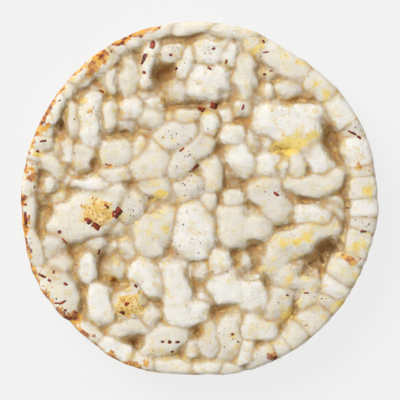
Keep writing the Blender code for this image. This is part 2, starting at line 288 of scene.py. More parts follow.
def softLimit(value, limit, soft):
    # values past the limit come to rest on it, with a rounded start
    over = np.maximum(value - (limit - soft), 0.0)
    return np.where(over > 0, limit - soft * np.exp(-over / soft), value)


def pressIntoMould(points):
    x, y, z = points.T
    soft = mould["softness"]
    z = softLimit(z, thickness, soft)
    z = thickness - softLimit(thickness - z, thickness, soft)
    corner = mould["cornerRadius"]
    edge = np.minimum(z, thickness - z)
    rise = np.clip(corner - edge, 0.0, corner)
    inset = corner - np.sqrt(corner ** 2 - rise ** 2)
    radius = np.hypot(x, y)
    held = softLimit(radius, ringRadius(np.arctan2(y, x)) - inset, soft)
    scale = held / np.maximum(radius, 1e-6)
    return np.column_stack((x * scale, y * scale, z))


def ripple(points, wave, seed, waves=10):
    # smooth uneven value from about -1 to 1, made of plane waves about one wavelength long
    dice = np.random.default_rng(seed)
    total = np.zeros(len(points))
    for _ in range(waves):
        way = dice.normal(size=points.shape[1])
        way *= 2 * math.pi / (wave * dice.uniform(0.8, 1.7) * np.linalg.norm(way))
        total += np.sin(points @ way + dice.uniform(0, 2 * math.pi))
    return total / math.sqrt(waves / 2) / 2


def blend(first, second, width):
    # the higher of the two, with the crease between them filled
    return (np.maximum(first, second)
            + width * np.log1p(np.exp(-np.abs(first - second) / width)))


def inFrame(x, y, spot):
    # how far along and across a spot's own directions, in its half lengths
    sx, sy, length, width, heading = spot[:5]
    c, s = math.cos(math.radians(heading)), math.sin(math.radians(heading))
    along = ((x - sx) * c + (y - sy) * s) / (length / 2)
    across = ((y - sy) * c - (x - sx) * s) / (width / 2)
    return along, across


def puffHeight(puff, x, y):
    # height of a pressed puff: a flattish top, a round edge, then a steep flank
    length, width, sink = puff[2], puff[3], puff[5]
    along, across = inFrame(x, y, puff)
    if len(puff) > 7:
        across = across - puff[7] * (along ** 2 - bendCentre) / (width / 2)
    along, across = np.abs(along) + 1e-6, np.abs(across) + 1e-6
    n = shaping["squareness"]
    gauge = (along ** n + across ** n) ** (1 / n)
    slope = np.hypot((along / gauge) ** (n - 1) / (length / 2),
                     (across / gauge) ** (n - 1) / (width / 2))
    overlap = shaping["overlap"] * (1.0 if sink < layers["middle"] else shaping["deepOverlap"])
    inside = (1 - gauge) / slope + overlap
    edge = min(shaping["edgeRadius"], width / 2 + overlap)
    drop = edge - np.sqrt(edge ** 2 - np.clip(edge - inside, 0, edge) ** 2)
    drop += shaping["flank"] * np.clip(-inside, 0, None) + shaping["dome"] * gauge ** 2
    return thickness - sink + shaping["swell"] - drop


def insideSpots(x, y, spots):
    # how far inside the nearest spot each place lies, in millimetres
    best = np.full(len(x), -6.0)
    for spot in spots:
        along, across = inFrame(x, y, spot)
        best = np.maximum(best, (1 - np.hypot(along, across)) * spot[3] / 2)
    return best


def hollowLimit(x, y, sides, scale):
    # the height that the hollows leave free
    steepness, margin = hollowSides[sides]
    clear = thickness + hollowSides["clear"]
    limit = np.full(len(x), clear)
    for spot in hollows:
        along, across = inFrame(x, y, spot)
        inside = (1 - np.hypot(along, across)) * spot[3] / 2 + margin
        low = thickness + hollowSides["mouth"] - steepness * np.clip(inside, 0, None)
        low = np.maximum(low, thickness - spot[5] * scale)
        limit = np.minimum(limit, np.where(inside > 0, low, clear))
    return limit


def layOut(dice, kind):
    # places no closer than the spacing, found by throwing darts
    places = []
    for _ in range(filling["darts"]):
        r = filling["radius"] * math.sqrt(dice.random())
        angle = dice.uniform(0, 2 * math.pi)
        x, y = r * math.cos(angle), r * math.sin(angle)
        if all(math.hypot(x - a, y - b) > kind["spacing"] for a, b in places):
            places.append((x, y))
    return [[(x, y, dice.uniform(*kind["length"]), dice.uniform(*kind["width"]),
              dice.uniform(0, 180), dice.uniform(*kind["sink"]), dice.choice(finishNames),
              dice.uniform(-0.8, 0.8))] for x, y in places]


def makeFace(seed, scale):
    dice = random.Random(seed)
    stretch = shaping["sinkScale"] * scale
    rows = [[(*puff[:5], puff[5] * (stretch if puff[5] < layers["shown"] else 1), *puff[6:])
             for puff in row] for row in facePuffs]
    return {"seed": seed, "scale": scale, "own": len(rows),
            "rows": rows + layOut(dice, filling["between"]) + layOut(dice, filling["under"])}


def skinOf(face, x, y):
    # height of the face over each place, its grain, and how far below it the next grain ends
    flat = np.column_stack((x, y))
    x = x + shaping["wander"] * ripple(flat, shaping["wanderWave"], face["seed"])
    y = y + shaping["wander"] * ripple(flat, shaping["wanderWave"], face["seed"] + 1)
    best = np.full(len(x), 0.0)
    second = np.full(len(x), -1.0)
    owner = np.zeros(len(x), dtype=int)
    fold = np.full(len(x), farAway)
    steep = hollowLimit(x, y, "steep", face["scale"])
    gentle = hollowLimit(x, y, "gentle", face["scale"])
    for index, row in enumerate(face["rows"]):
        reach = max(puff[2] for puff in row) / 2 + shaping["reach"]
        near = np.flatnonzero(np.any([np.hypot(x - puff[0], y - puff[1]) < reach for puff in row],
                                     axis=0))
        if not len(near):
            continue
        height = puffHeight(row[0], x[near], y[near])
        apart = np.full(len(near), farAway)
        for puff in row[1:]:
            other = puffHeight(puff, x[near], y[near])
            apart = np.minimum(apart, np.abs(height - other))
            height = blend(height, other, shaping["lobeBlend"])
        sink = row[0][5]
        if sink < layers["tops"] and index < face["own"]:
            height = -blend(-height, -gentle[near], hollowSides["blend"])
        elif sink < layers["middle"]:
            height = np.minimum(height, steep[near] - hollowSides["below"])
        before = best[near]
        better = height > before
        second[near] = np.where(better, before, np.maximum(second[near], height))
        best[near] = np.where(better, height, before)
        owner[near[better]] = index
        fold[near[better]] = apart[better]
    skin = softLimit(blend(best, second, shaping["grainBlend"]), thickness, shaping["crown"])
    return skin, owner, np.minimum(best - second, fold + shaping["foldGap"])


def lowerPlace(x, y):
    turn = math.radians(shaping["lowerTurn"])
    return (-x * math.cos(turn) - y * math.sin(turn), -x * math.sin(turn) + y * math.cos(turn))


def faceBlock(face, lower):
    # a closed block whose one side is the face and whose other side lies inside the cake
    radius = shaping["faceRadius"]
    count = int(2 * (radius + 1) / shaping["gridStep"])
    line = np.linspace(-radius - 1, radius + 1, count)
    x, y = (grid.ravel() for grid in np.meshgrid(line, line))
    pull = np.minimum(1.0, radius / np.maximum(np.hypot(x, y), 1e-6))
    x, y = x * pull, y * pull
    skin = skinOf(face, *lowerPlace(x, y))[0] if lower else skinOf(face, x, y)[0]
    if lower:
        skin = thickness - skin
    back = np.full(len(x), thickness * shaping["backs"][lower])
    points = np.concatenate((np.column_stack((x, y, skin)), np.column_stack((x, y, back))))
    cell = (np.arange(count - 1)[:, None] * count + np.arange(count - 1)).ravel()
    sheet = np.column_stack((cell, cell + 1, cell + count + 1, cell + count))
    if lower:
        sheet = sheet[:, ::-1]
    other = sheet[:, ::-1] + count * count
    steps = np.arange(count - 1)
    edges = np.concatenate((np.column_stack((steps, steps + 1)),
                            np.column_stack((steps + 1, steps)) + count * (count - 1),
                            np.column_stack((steps + 1, steps)) * count,
                            np.column_stack((steps, steps + 1)) * count + count - 1))
    if lower:
        edges = edges[:, ::-1]
    walls = np.column_stack((edges[:, 1], edges[:, 0], edges[:, 0] + count * count,
                             edges[:, 1] + count * count))
    return points, np.concatenate((sheet, other, walls)).tolist()


def makeLobe(x, y, z, length, width, height, heading, bend=0.0, tilt=0.0, seed=0):
    return {"middle": np.array([x, y, z]), "half": np.array([length, width, height]) / 2,
            "heading": math.radians(heading), "tilt": math.radians(tilt), "bend": bend,
            "seed": seed}


def lobeTurn(lobe):
    c, s = math.cos(lobe["heading"]), math.sin(lobe["heading"])
    ct, st = math.cos(lobe["tilt"]), math.sin(lobe["tilt"])
    along = np.array([c * ct, s * ct, st])
    across = np.array([-s, c, 0.0])
    return np.stack((along, across, np.cross(along, across)))


def waistOf(along, lobe):
    # a grain has one or two shallow waists along its length
    dice = random.Random(lobe["seed"])
    count = dice.choice((1.0, 1.5, 2.0))
    shift = dice.uniform(-0.25, 0.25)
    depth = shaping["waist"] * dice.uniform(0.3, 1.2)
    return 1.0 - depth * (0.5 + 0.5 * np.cos(2 * math.pi * count * (along + shift)))


def lobeGauge(unit):
    # 1 on the skin of a full, blunt-ended puff, and how it grows along each axis
    n, m = shaping["bluntness"], shaping["fullness"]
    x, y, z = np.abs(unit.T) + 1e-6
    across = (y ** m + z ** m) ** (1 / m)
    gauge = (x ** n + across ** n) ** (1 / n)
    slopeAcross = (across / gauge) ** (n - 1)
    slopes = np.stack(((x / gauge) ** (n - 1), slopeAcross * (y / across) ** (m - 1),
                       slopeAcross * (z / across) ** (m - 1)), axis=1)
    return gauge, slopes


def lobePoints(lobe, ball):
    # the unit ball swollen into a blunt, waisted, slightly lumpy puff
    shape = ball / lobeGauge(ball)[0][:, None]
    shape *= 1 + shaping["lumps"] * ripple(ball, 1.5, lobe["seed"])[:, None]
    shape[:, 1:] *= waistOf(shape[:, 0], lobe)[:, None]
    local = shape * lobe["half"]
    local[:, 1] += lobe["bend"] * (shape[:, 0] ** 2 - bendCentre)
    return local @ lobeTurn(lobe) + lobe["middle"]


def lobeDistance(lobe, points):
    # about how far each point lies outside the lobe, in millimetres
    unit = (points - lobe["middle"]) @ lobeTurn(lobe).T / lobe["half"]
    unit[:, 1] -= lobe["bend"] * (unit[:, 0] ** 2 - bendCentre) / lobe["half"][1]
    unit[:, 1:] /= waistOf(unit[:, :1], lobe)
    gauge, slopes = lobeGauge(unit)
    return (gauge - 1) / np.maximum(np.linalg.norm(slopes / lobe["half"], axis=1), 1e-4)


def ringLobes(dice):
    # the puffs against the ring: the rim of the upper face, then rows down the side
    lobes = []
    for direction, length, band, sink, finish in rimPuffs:
        angle = math.radians(direction)
        share, under = ringRow["band"]
        width = band * share + under
        middle = float(ringRadius(angle)) + ringRow["past"] - width / 2
        height = dice.uniform(*ringRow["height"])
        level = thickness - sink * ringRow["sinkScale"] - height / 2
        lobe = makeLobe(middle * math.cos(angle), middle * math.sin(angle), level,
                        length * ringRow["stretch"], width, height,
                        direction + 90 + dice.uniform(-6, 6),
                        bend=-length ** 2 / ringRow["curve"],
                        tilt=dice.uniform(-2, 2), seed=dice.randrange(9999))
        lobe["finish"] = finish
        lobes.append(lobe)
    for z, height in filling["wallRows"]:
        start, turned = dice.uniform(0, 20), 0.0
        while turned < 352:       # the last puff closes the row
            length = dice.uniform(*filling["wallLength"])
            step = math.degrees(length / mould["ringRadius"])
            angle = math.radians(start + turned + step / 2)
            width = dice.uniform(*filling["wallWidth"])
            middle = float(ringRadius(angle)) + dice.uniform(*ringRow["wallPast"]) - width / 2
            lobe = makeLobe(middle * math.cos(angle), middle * math.sin(angle),
                            z + dice.uniform(-0.8, 0.8), length * ringRow["wallStretch"], width,
                            height * dice.uniform(0.9, 1.15), math.degrees(angle) + 90,
                            bend=-length ** 2 / ringRow["wallCurve"],
                            tilt=dice.uniform(-filling["wallTilt"], filling["wallTilt"]),
                            seed=dice.randrange(9999))
            lobe["finish"] = dice.choice(finishNames)
            lobes.append(lobe)
            turned += step
    return lobes


def unitBall():
    bm = bmesh.new()
    bmesh.ops.create_uvsphere(bm, u_segments=shaping["segments"], v_segments=shaping["rings"],
                              radius=1.0)
    bm.verts.ensure_lookup_table()
    points = np.array([v.co[:] for v in bm.verts])
    faces = [[v.index for v in f.verts] for f in bm.faces]
    bm.free()
    return points[:, [2, 0, 1]], faces      # the poles lie at the ends of the grain


def joinedShapes(upper, lower, lobes):
    clouds, faces, start = [], [], 0
    shapes = [faceBlock(upper, False), faceBlock(lower, True)]
    ball, ballFaces = unitBall()
    shapes += [(pressIntoMould(lobePoints(lobe, ball)), ballFaces) for lobe in lobes]
    for points, own in shapes:
        clouds.append(points)
        faces += [[i + start for i in face] for face in own]
        start += len(points)
    mesh = bpy.data.meshes.new("puffs")
    mesh.from_pydata(np.concatenate(clouds).tolist(), [], faces)
    mesh.update()
    return mesh


def appliedMesh(obj):
    graph = bpy.context.evaluated_depsgraph_get()
    return bpy.data.meshes.new_from_object(obj.evaluated_get(graph))


def meshEdges(mesh):
    edges = np.empty(len(mesh.edges) * 2, dtype=np.int64)
    mesh.edges.foreach_get("vertices", edges)
    return edges.reshape(-1, 2).T


def keepOuterBody(mesh):
    # drop the sealed pockets that fusing leaves inside
    a, b = meshEdges(mesh)
    label = np.arange(len(mesh.vertices))
    while True:
        low = np.minimum(label[a], label[b])
        before = label.copy()
        np.minimum.at(label, a, low)
        np.minimum.at(label, b, low)
        label = label[label]
        if (label == before).all():
            break
    names, sizes = np.unique(label, return_counts=True)
    lost = np.flatnonzero(label != names[sizes.argmax()])
    if len(lost):
        bm = bmesh.new()
        bm.from_mesh(mesh)
        bm.verts.ensure_lookup_table()
        bmesh.ops.delete(bm, geom=[bm.verts[i] for i in lost], context="VERTS")
        bm.to_mesh(mesh)
        bm.free()


def vertexArrays(mesh):
    points = np.empty(len(mesh.vertices) * 3)
    mesh.vertices.foreach_get("co", points)
    normals = np.empty(len(mesh.vertices) * 3)
    mesh.vertex_normals.foreach_get("vector", normals)
    return points.reshape(-1, 3), normals.reshape(-1, 3)


def fusePuffs(mesh):
    cake = bpy.data.objects.new("puffedCake", mesh)
    bpy.context.scene.collection.objects.link(cake)
    fuse = cake.modifiers.new("fuse", "REMESH")
    fuse.mode = "VOXEL"
    fuse.voxel_size = shaping["voxel"]
    cake.data = appliedMesh(cake)
    cake.modifiers.clear()
    keepOuterBody(cake.data)
    print("fused:", len(cake.data.vertices), "points")
    soften = cake.modifiers.new("soften", "SMOOTH")
    soften.factor = 0.5
    soften.iterations = shaping["smoothing"]
    thin = cake.modifiers.new("thin", "DECIMATE")
    thin.ratio = min(1.0, shaping["triangles"] / (2 * len(cake.data.polygons)))
    cake.data = appliedMesh(cake)
    cake.modifiers.clear()
    return cake


# How the surface is measured for its colours, in millimetres.
seams = {"face": 0.6, "ring": 3.2, "widest": 4.0}       # how fast the painted shade and the seam colour fade beside a seam
openness = {"reach": 8.0, "rays": 18, "lift": 0.12, "seed": 3}     # looks out of each point
goldenAngle = 2.39996         # spreads those looks evenly
wall = {"start": 43.0, "fade": 2.5, "deepest": 6.0}     # where the ring pressed the skin


def lobeSeams(lobes, points):
    # for each point: the nearest lobe, how far it lies outside it, how much further the next is
    nearest = np.full(len(points), farAway)
    second = np.full(len(points), farAway)
    owner = np.zeros(len(points), dtype=int)
    for index, lobe in enumerate(lobes):
        close = np.flatnonzero(
            (np.abs(points - lobe["middle"]) < lobe["half"].max() + 2.5).all(axis=1))
        if len(close):
            distance = lobeDistance(lobe, points[close])
            before = nearest[close]
            better = distance < before
            second[close] = np.where(better, before, np.minimum(second[close], distance))
            nearest[close] = np.where(better, distance, before)
            owner[close[better]] = index
    return owner, nearest, second - nearest


def seamsOf(upper, lower, lobes, points):
    # the finish of the grain each point belongs to, and how near the next grain is
    x, y, z = points.T
    skinUp, ownerUp, gapUp = skinOf(upper, x, y)
    skinLow, ownerLow, gapLow = skinOf(lower, *lowerPlace(x, y))
    above = z > thickness / 2
    outside = np.where(above, np.abs(z - skinUp), np.abs(thickness - z - skinLow))
    outside = np.where(np.hypot(x, y) > shaping["faceRadius"], farAway, outside)
    gap = np.where(above, gapUp, gapLow) * seams["face"]
    names = np.array([finishNames.index(row[0][6]) for row in upper["rows"]])
    lowNames = np.array([finishNames.index(row[0][6]) for row in lower["rows"]])
    finish = np.where(above, names[ownerUp], lowNames[ownerLow])
    owner, lobeGap, lobeNext = lobeSeams(lobes, points)
    lobeNames = np.array([finishNames.index(lobe["finish"]) for lobe in lobes])
    onLobe = np.abs(lobeGap) < outside
    gap = np.where(onLobe, np.minimum(lobeNext * seams["ring"], outside),
                   np.minimum(gap, np.abs(lobeGap)))
    return np.where(onLobe, lobeNames[owner], finish), np.clip(gap, 0, seams["widest"])


def hollowness(bodyTree, points, normals):
    # how much of the view out of each point is blocked within a few millimetres
    reach, rays = openness["reach"], openness["rays"]
    dice = random.Random(openness["seed"])
    spread = []
    for i in range(rays):
        tall = math.sqrt(1 - (i + 0.5) / rays)
        turn = i * goldenAngle + dice.uniform(-0.2, 0.2)
        flat = math.sqrt(1 - tall * tall)
        spread.append(Vector((flat * math.cos(turn), flat * math.sin(turn), tall)))
    blocked = np.zeros(len(points))
    for i in range(len(points)):
        normal = Vector(normals[i])
        start = Vector(points[i]) + normal * openness["lift"]
        turn = normal.to_track_quat("Z", "Y")
        total = 0.0
        for ray in spread:
            hit = bodyTree.ray_cast(start, turn @ ray, reach)
            if hit[0] is not None:
                total += 1 - hit[3] / reach
        blocked[i] = total / rays
    return blocked


def tiltedAway(points, normals):
    # how far the skin leans away from the plate or ring it was pressed against, which the material
    # paints as shade on the flanks
    radius = np.hypot(points[:, 0], points[:, 1])
    around = points[:, :2] / np.maximum(radius, 1e-6)[:, None]
    outward = (normals[:, :2] * around).sum(axis=1)
    nearRing = np.clip((radius - wall["start"]) / wall["fade"], 0, 1)
    return 1 - np.maximum(np.abs(normals[:, 2]), outward * nearRing)


def storeValues(mesh, name, values):
    layer = mesh.attributes.new(name, "FLOAT", "POINT")
    layer.data.foreach_set("value", np.asarray(values, dtype=np.float32))


# Stains, laid out on the upper face: x, y, length, width, heading.
stains = {
    "germ": [(-27, -3.4, 9.6, 8.6, 10), (-18.4, -28, 8.6, 7.4, 0), (-17, -23.4, 4.6, 2, 115)],
    "smear": [(25.5, 15.4, 14, 5.5, 22), (22.5, 13, 5, 3, 0), (30, 18.4, 4, 3, 0),
              (15.5, 40.5, 4, 3, 0), (45, 2.6, 3, 5, 0), (-10.5, 1.2, 3.4, 3.4, 0),
              (33, -6, 5.4, 2, -20), (25.5, -11, 8, 1.8, 15), (24.4, -21.2, 2.4, 2.4, 0),
              (31.4, 30.6, 5, 1.6, -28), (33.8, 27.4, 4, 1.6, 85), (15, -33, 3.6, 1.8, 30),
              (9, -36.6, 3.6, 2, 20), (-8.4, -41.2, 6, 1.8, -10), (23, -31, 6, 2.8, 55),
              (40.7, -20.3, 3.6, 2.2, 0), (42.4, -12.6, 4, 3, 30), (37, -28.6, 5, 2, 50),
              (-30.5, 26.4, 2.4, 2.4, 0), (-5.2, 0.2, 2, 1.6, 0), (26, 37.2, 6, 2, -28),
              (-42.6, 12, 3, 2, 0), (32.5, -30.6, 5, 1.4, -40), (-9.2, -7.8, 2.4, 1.8, 90)],
    "toast": [(-27, 37.2, 9, 4, 42), (-35.2, 32.4, 8, 2, 46), (-19.6, 43.4, 4.4, 2, 25),
              (-42.4, 17.6, 3.4, 1.4, 60), (-44, 5, 5, 1.2, 90), (-46.6, -6, 8, 1.8, 96),
              (-33, -31.4, 5, 4.6, 0), (-14.4, -43.7, 2.4, 1.6, 90), (43.6, 8.4, 3, 1.2, 0),
              (39.5, -15.8, 4.6, 1.2, 0), (29, -33.4, 3, 1.3, -60), (-28.5, 24.5, 2, 1.4, 0),
              (-23.6, 9, 2.4, 1.4, 20), (-23.5, -21.4, 2, 1.4, 0), (19.5, -42, 3, 1.6, 30),
              (-40.8, 24.6, 6, 1.2, 62), (-24.5, 43.4, 7, 1.4, 30)],
}

# Where the browning sits: stains fade down the side, the wall is browned over part of its turn.
browning = {
    "fadeStart": 3.0, "fade": 0.8,
    "reach": 1.3,             # how far in from the ring it goes
    "turns": (92, 262, 14),   # first and last direction, and how softly they end
    "levels": (1, 9),         # height where it starts, and over how much it grows
    "paler": 2.0,             # how much less the rest of the wall has
}

# Waves and heights of the unevenness of the skin.
relief = {
    "lumpWave": 3.2, "lumpHeight": 0.16,       # shallow dents
    "wrinkleWave": 1.0, "wrinkleHeight": 0.12,
    "germWave": 0.75, "germHeight": 0.45,
}


def stainDepth(points, spots):
    # the lower face is stained like the upper one; stains fade out down the side
    x, y, z = points.T
    lowX, lowY = lowerPlace(x, y)
    above = z > thickness / 2
    inside = insideSpots(np.where(above, x, lowX), np.where(above, y, lowY), spots)
    down = np.clip(np.minimum(z, thickness - z) - browning["fadeStart"], 0, None)
    return inside - down * browning["fade"]


def addRelief(mesh):
    points, normals = vertexArrays(mesh)
    fine = np.array([noise.noise(Vector(p) / relief["wrinkleWave"]) for p in points])
    ridges = 0.5 - np.abs(fine)
    lumps = ripple(points, relief["lumpWave"], 21, 16)
    rough = np.array([noise.noise(Vector(p) / relief["germWave"]) for p in points])
    onGerm = np.clip(stainDepth(points, stains["germ"]) / 0.8, 0, 1)
    height = (relief["lumpHeight"] * lumps + relief["wrinkleHeight"] * (ridges * 2 - 0.6)
              + relief["germHeight"] * onGerm * rough)
    moved = points + normals * height[:, None]
    moved[:, 2] = np.clip(moved[:, 2], 0.0, thickness)
    mesh.vertices.foreach_set("co", moved.ravel())
    mesh.update()


def edgeBrowning(points):
    # the side wall browned where the ring was hottest, on the -X side and near the top
    x, y, z = points.T
    angle = np.arctan2(y, x)
    outer = np.hypot(x, y) - ringRadius(angle) + browning["reach"]
    turn = (np.degrees(angle) + 360) % 360
    first, last, soft = browning["turns"]
    hot = np.clip(np.minimum(turn - first, last - turn) / soft, 0, 1)
    start, span = browning["levels"]
    level = np.clip((z - start) / span, 0, 1)
    return np.clip(outer, -4, 1.0) - browning["paler"] * (1 - hot * level)


def storeLooks(mesh, points, normals, finish, seamGap, blocked):
    # what the material reads at each point
    x, y, z = points.T
    fromMould = np.minimum(np.minimum(z, thickness - z),
                           ringRadius(np.arctan2(y, x)) - np.hypot(x, y))
    storeValues(mesh, "seamGap", seamGap)
    # the material paints shade from blocked, tilted and sunk, and from seamGap beside the seams
    storeValues(mesh, "blocked", blocked)
    storeValues(mesh, "tilted", tiltedAway(points, normals))
    storeValues(mesh, "sunk", np.clip(fromMould, 0, wall["deepest"]))
    storeValues(mesh, "browning", edgeBrowning(points))
    for number, name in enumerate(finishNames):
        storeValues(mesh, name, finish == number)
    for name, spots in stains.items():
        storeValues(mesh, name, stainDepth(points, spots))


def shadeSmooth(mesh):
    mesh.polygons.foreach_set("use_smooth", [True] * len(mesh.polygons))


upper = makeFace(filling["seed"], 1.0)
lower = makeFace(filling["seed"] + 20, shaping["lowerDepth"])
lobes = ringLobes(random.Random(filling["seed"]))
print("grains:", len(upper["rows"]) + len(lower["rows"]) + len(lobes))
cake = fusePuffs(joinedShapes(upper, lower, lobes))
addRelief(cake.data)
points, normals = vertexArrays(cake.data)
bodyTree = BVHTree.FromPolygons([tuple(p) for p in points],
                                [tuple(f.vertices) for f in cake.data.polygons], epsilon=0.0)
finish, seamGap = seamsOf(upper, lower, lobes, points)
print("seams found")
blocked = hollowness(bodyTree, points, normals)
print("hollows found")
storeLooks(cake.data, points, normals, finish, seamGap, blocked)
cake.data.transform(Matrix.Scale(mm, 4))
shadeSmooth(cake.data)


def newMaterial(name):
    material = bpy.data.materials.new(name)
    material.use_nodes = True
    nt = material.node_tree
    return material, nt, nt.nodes["Principled BSDF"]


def addNode(nodes, kind, **settings):
    node = nodes.new(kind)
    for key, value in settings.items():
        setattr(node, key, value)
    return node


def feed(nt, node, values):
    # links the values that come from other nodes and sets the rest on their sockets
    for key, value in values.items():
        if isinstance(value, bpy.types.NodeSocket):
            nt.links.new(value, node.inputs[key])
        else:
            node.inputs[key].default_value = value


def mixColours(nt, amount, first, second):
    mix = addNode(nt.nodes, "ShaderNodeMix", data_type="RGBA")
    feed(nt, mix, {0: amount, 6: first, 7: second})
    return mix.outputs[2]


def maths(nt, operation, first, second=0.0):
    node = addNode(nt.nodes, "ShaderNodeMath", operation=operation)
    feed(nt, node, {0: first, 1: second})
    return node.outputs[0]


def times(nt, *values):
    product = values[0]
    for value in values[1:]:
        product = maths(nt, "MULTIPLY", product, value)
    return product


def swing(nt, value, amount=1.0):
    # noise made to swing about zero
    return times(nt, maths(nt, "SUBTRACT", value, 0.5), amount)


def stepped(nt, value, low, high, start=0.0, end=1.0):
    node = addNode(nt.nodes, "ShaderNodeMapRange", interpolation_type="SMOOTHSTEP")
    feed(nt, node, {"Value": value, "From Min": low, "From Max": high,
                    "To Min": start, "To Max": end})
    return node.outputs["Result"]


def carried(nt, name):
    return addNode(nt.nodes, "ShaderNodeAttribute", attribute_name=name).outputs["Fac"]


def patches(nt, where, size, detail=3.0, roughness=0.5):
    # noise whose patches are about the given number of millimetres wide
    node = addNode(nt.nodes, "ShaderNodeTexNoise")
    feed(nt, node, {"Vector": where, "Scale": 1 / (size * mm), "Detail": detail,
                    "Roughness": roughness})
    return node.outputs["Fac"]


# Linear colours, and how strongly each thing colours the grain.
grainLook = {
    # painted shade, from an open pressed top (0) to the bottom of a hollow (1)
    "shades": [(0.00, (0.81, 0.77, 0.69)), (0.10, (0.74, 0.69, 0.59)), (0.26, (0.60, 0.51, 0.37)),
               (0.44, (0.48, 0.33, 0.16)), (0.80, (0.34, 0.18, 0.06))],
    # how strongly each measure adds painted shade
    "hollowShade": 1.5,
    "tiltShade": 0.35,
    "sunkShade": 0.25,
    "seamShade": [(1.0, 0.08), (3.4, 0.15)],        # how wide, and how much
    # finishes: colour and cover on the open tops
    "finishes": {"white": ((0.91, 0.89, 0.84, 1), 0.9), "pressed": ((0.77, 0.73, 0.66, 1), 0.8),
                 "cream": ((0.85, 0.80, 0.69, 1), 0.7), "golden": ((0.85, 0.80, 0.69, 1), 0.5)},
    "golden": (0.86, 0.73, 0.36, 1),
    "seam": (0.50, 0.25, 0.065, 1),
    "grainy": (0.62, 0.53, 0.40, 1),
    "vein": (0.78, 0.58, 0.18, 1),
    "freckle": (0.76, 0.52, 0.10, 1),
    "germ": (0.80, 0.54, 0.15, 1),
    "germPale": (0.86, 0.68, 0.32, 1),
    "germDark": (0.58, 0.26, 0.04, 1),
    "yellow": (0.88, 0.66, 0.13, 1),
    "yellowDark": (0.78, 0.44, 0.05, 1),
    "crust": (0.78, 0.42, 0.06, 1),
    "toast": (0.50, 0.15, 0.015, 1),
    "toastDark": (0.19, 0.03, 0.006, 1),
    "hairline": (0.42, 0.30, 0.17, 1),
    # how ragged the stains' edges are, in millimetres
    "torn": 9.0,
    "frayed": 8.0,
    "roughness": 0.75,
    "glow": 0.25,             # light that soaks into the foam
    "bump": 0.25,
}


def shadeRamp(nt, value, stops):
    node = addNode(nt.nodes, "ShaderNodeValToRGB")
    elements = node.color_ramp.elements
    while len(elements) < len(stops):
        elements.new(0.5)
    for element, (place, colour) in zip(elements, stops):
        element.position = place
        element.color = (*colour, 1)
    nt.links.new(value, node.inputs["Fac"])
    return node.outputs["Color"]


def roughen(nt, shader, pattern, height):
    # a fine roughness that shows in the light, of a height in millimetres
    bump = addNode(nt.nodes, "ShaderNodeBump")
    feed(nt, bump, {"Strength": 0.5, "Distance": height * mm, "Height": pattern})
    feed(nt, shader, {"Normal": bump.outputs["Normal"]})


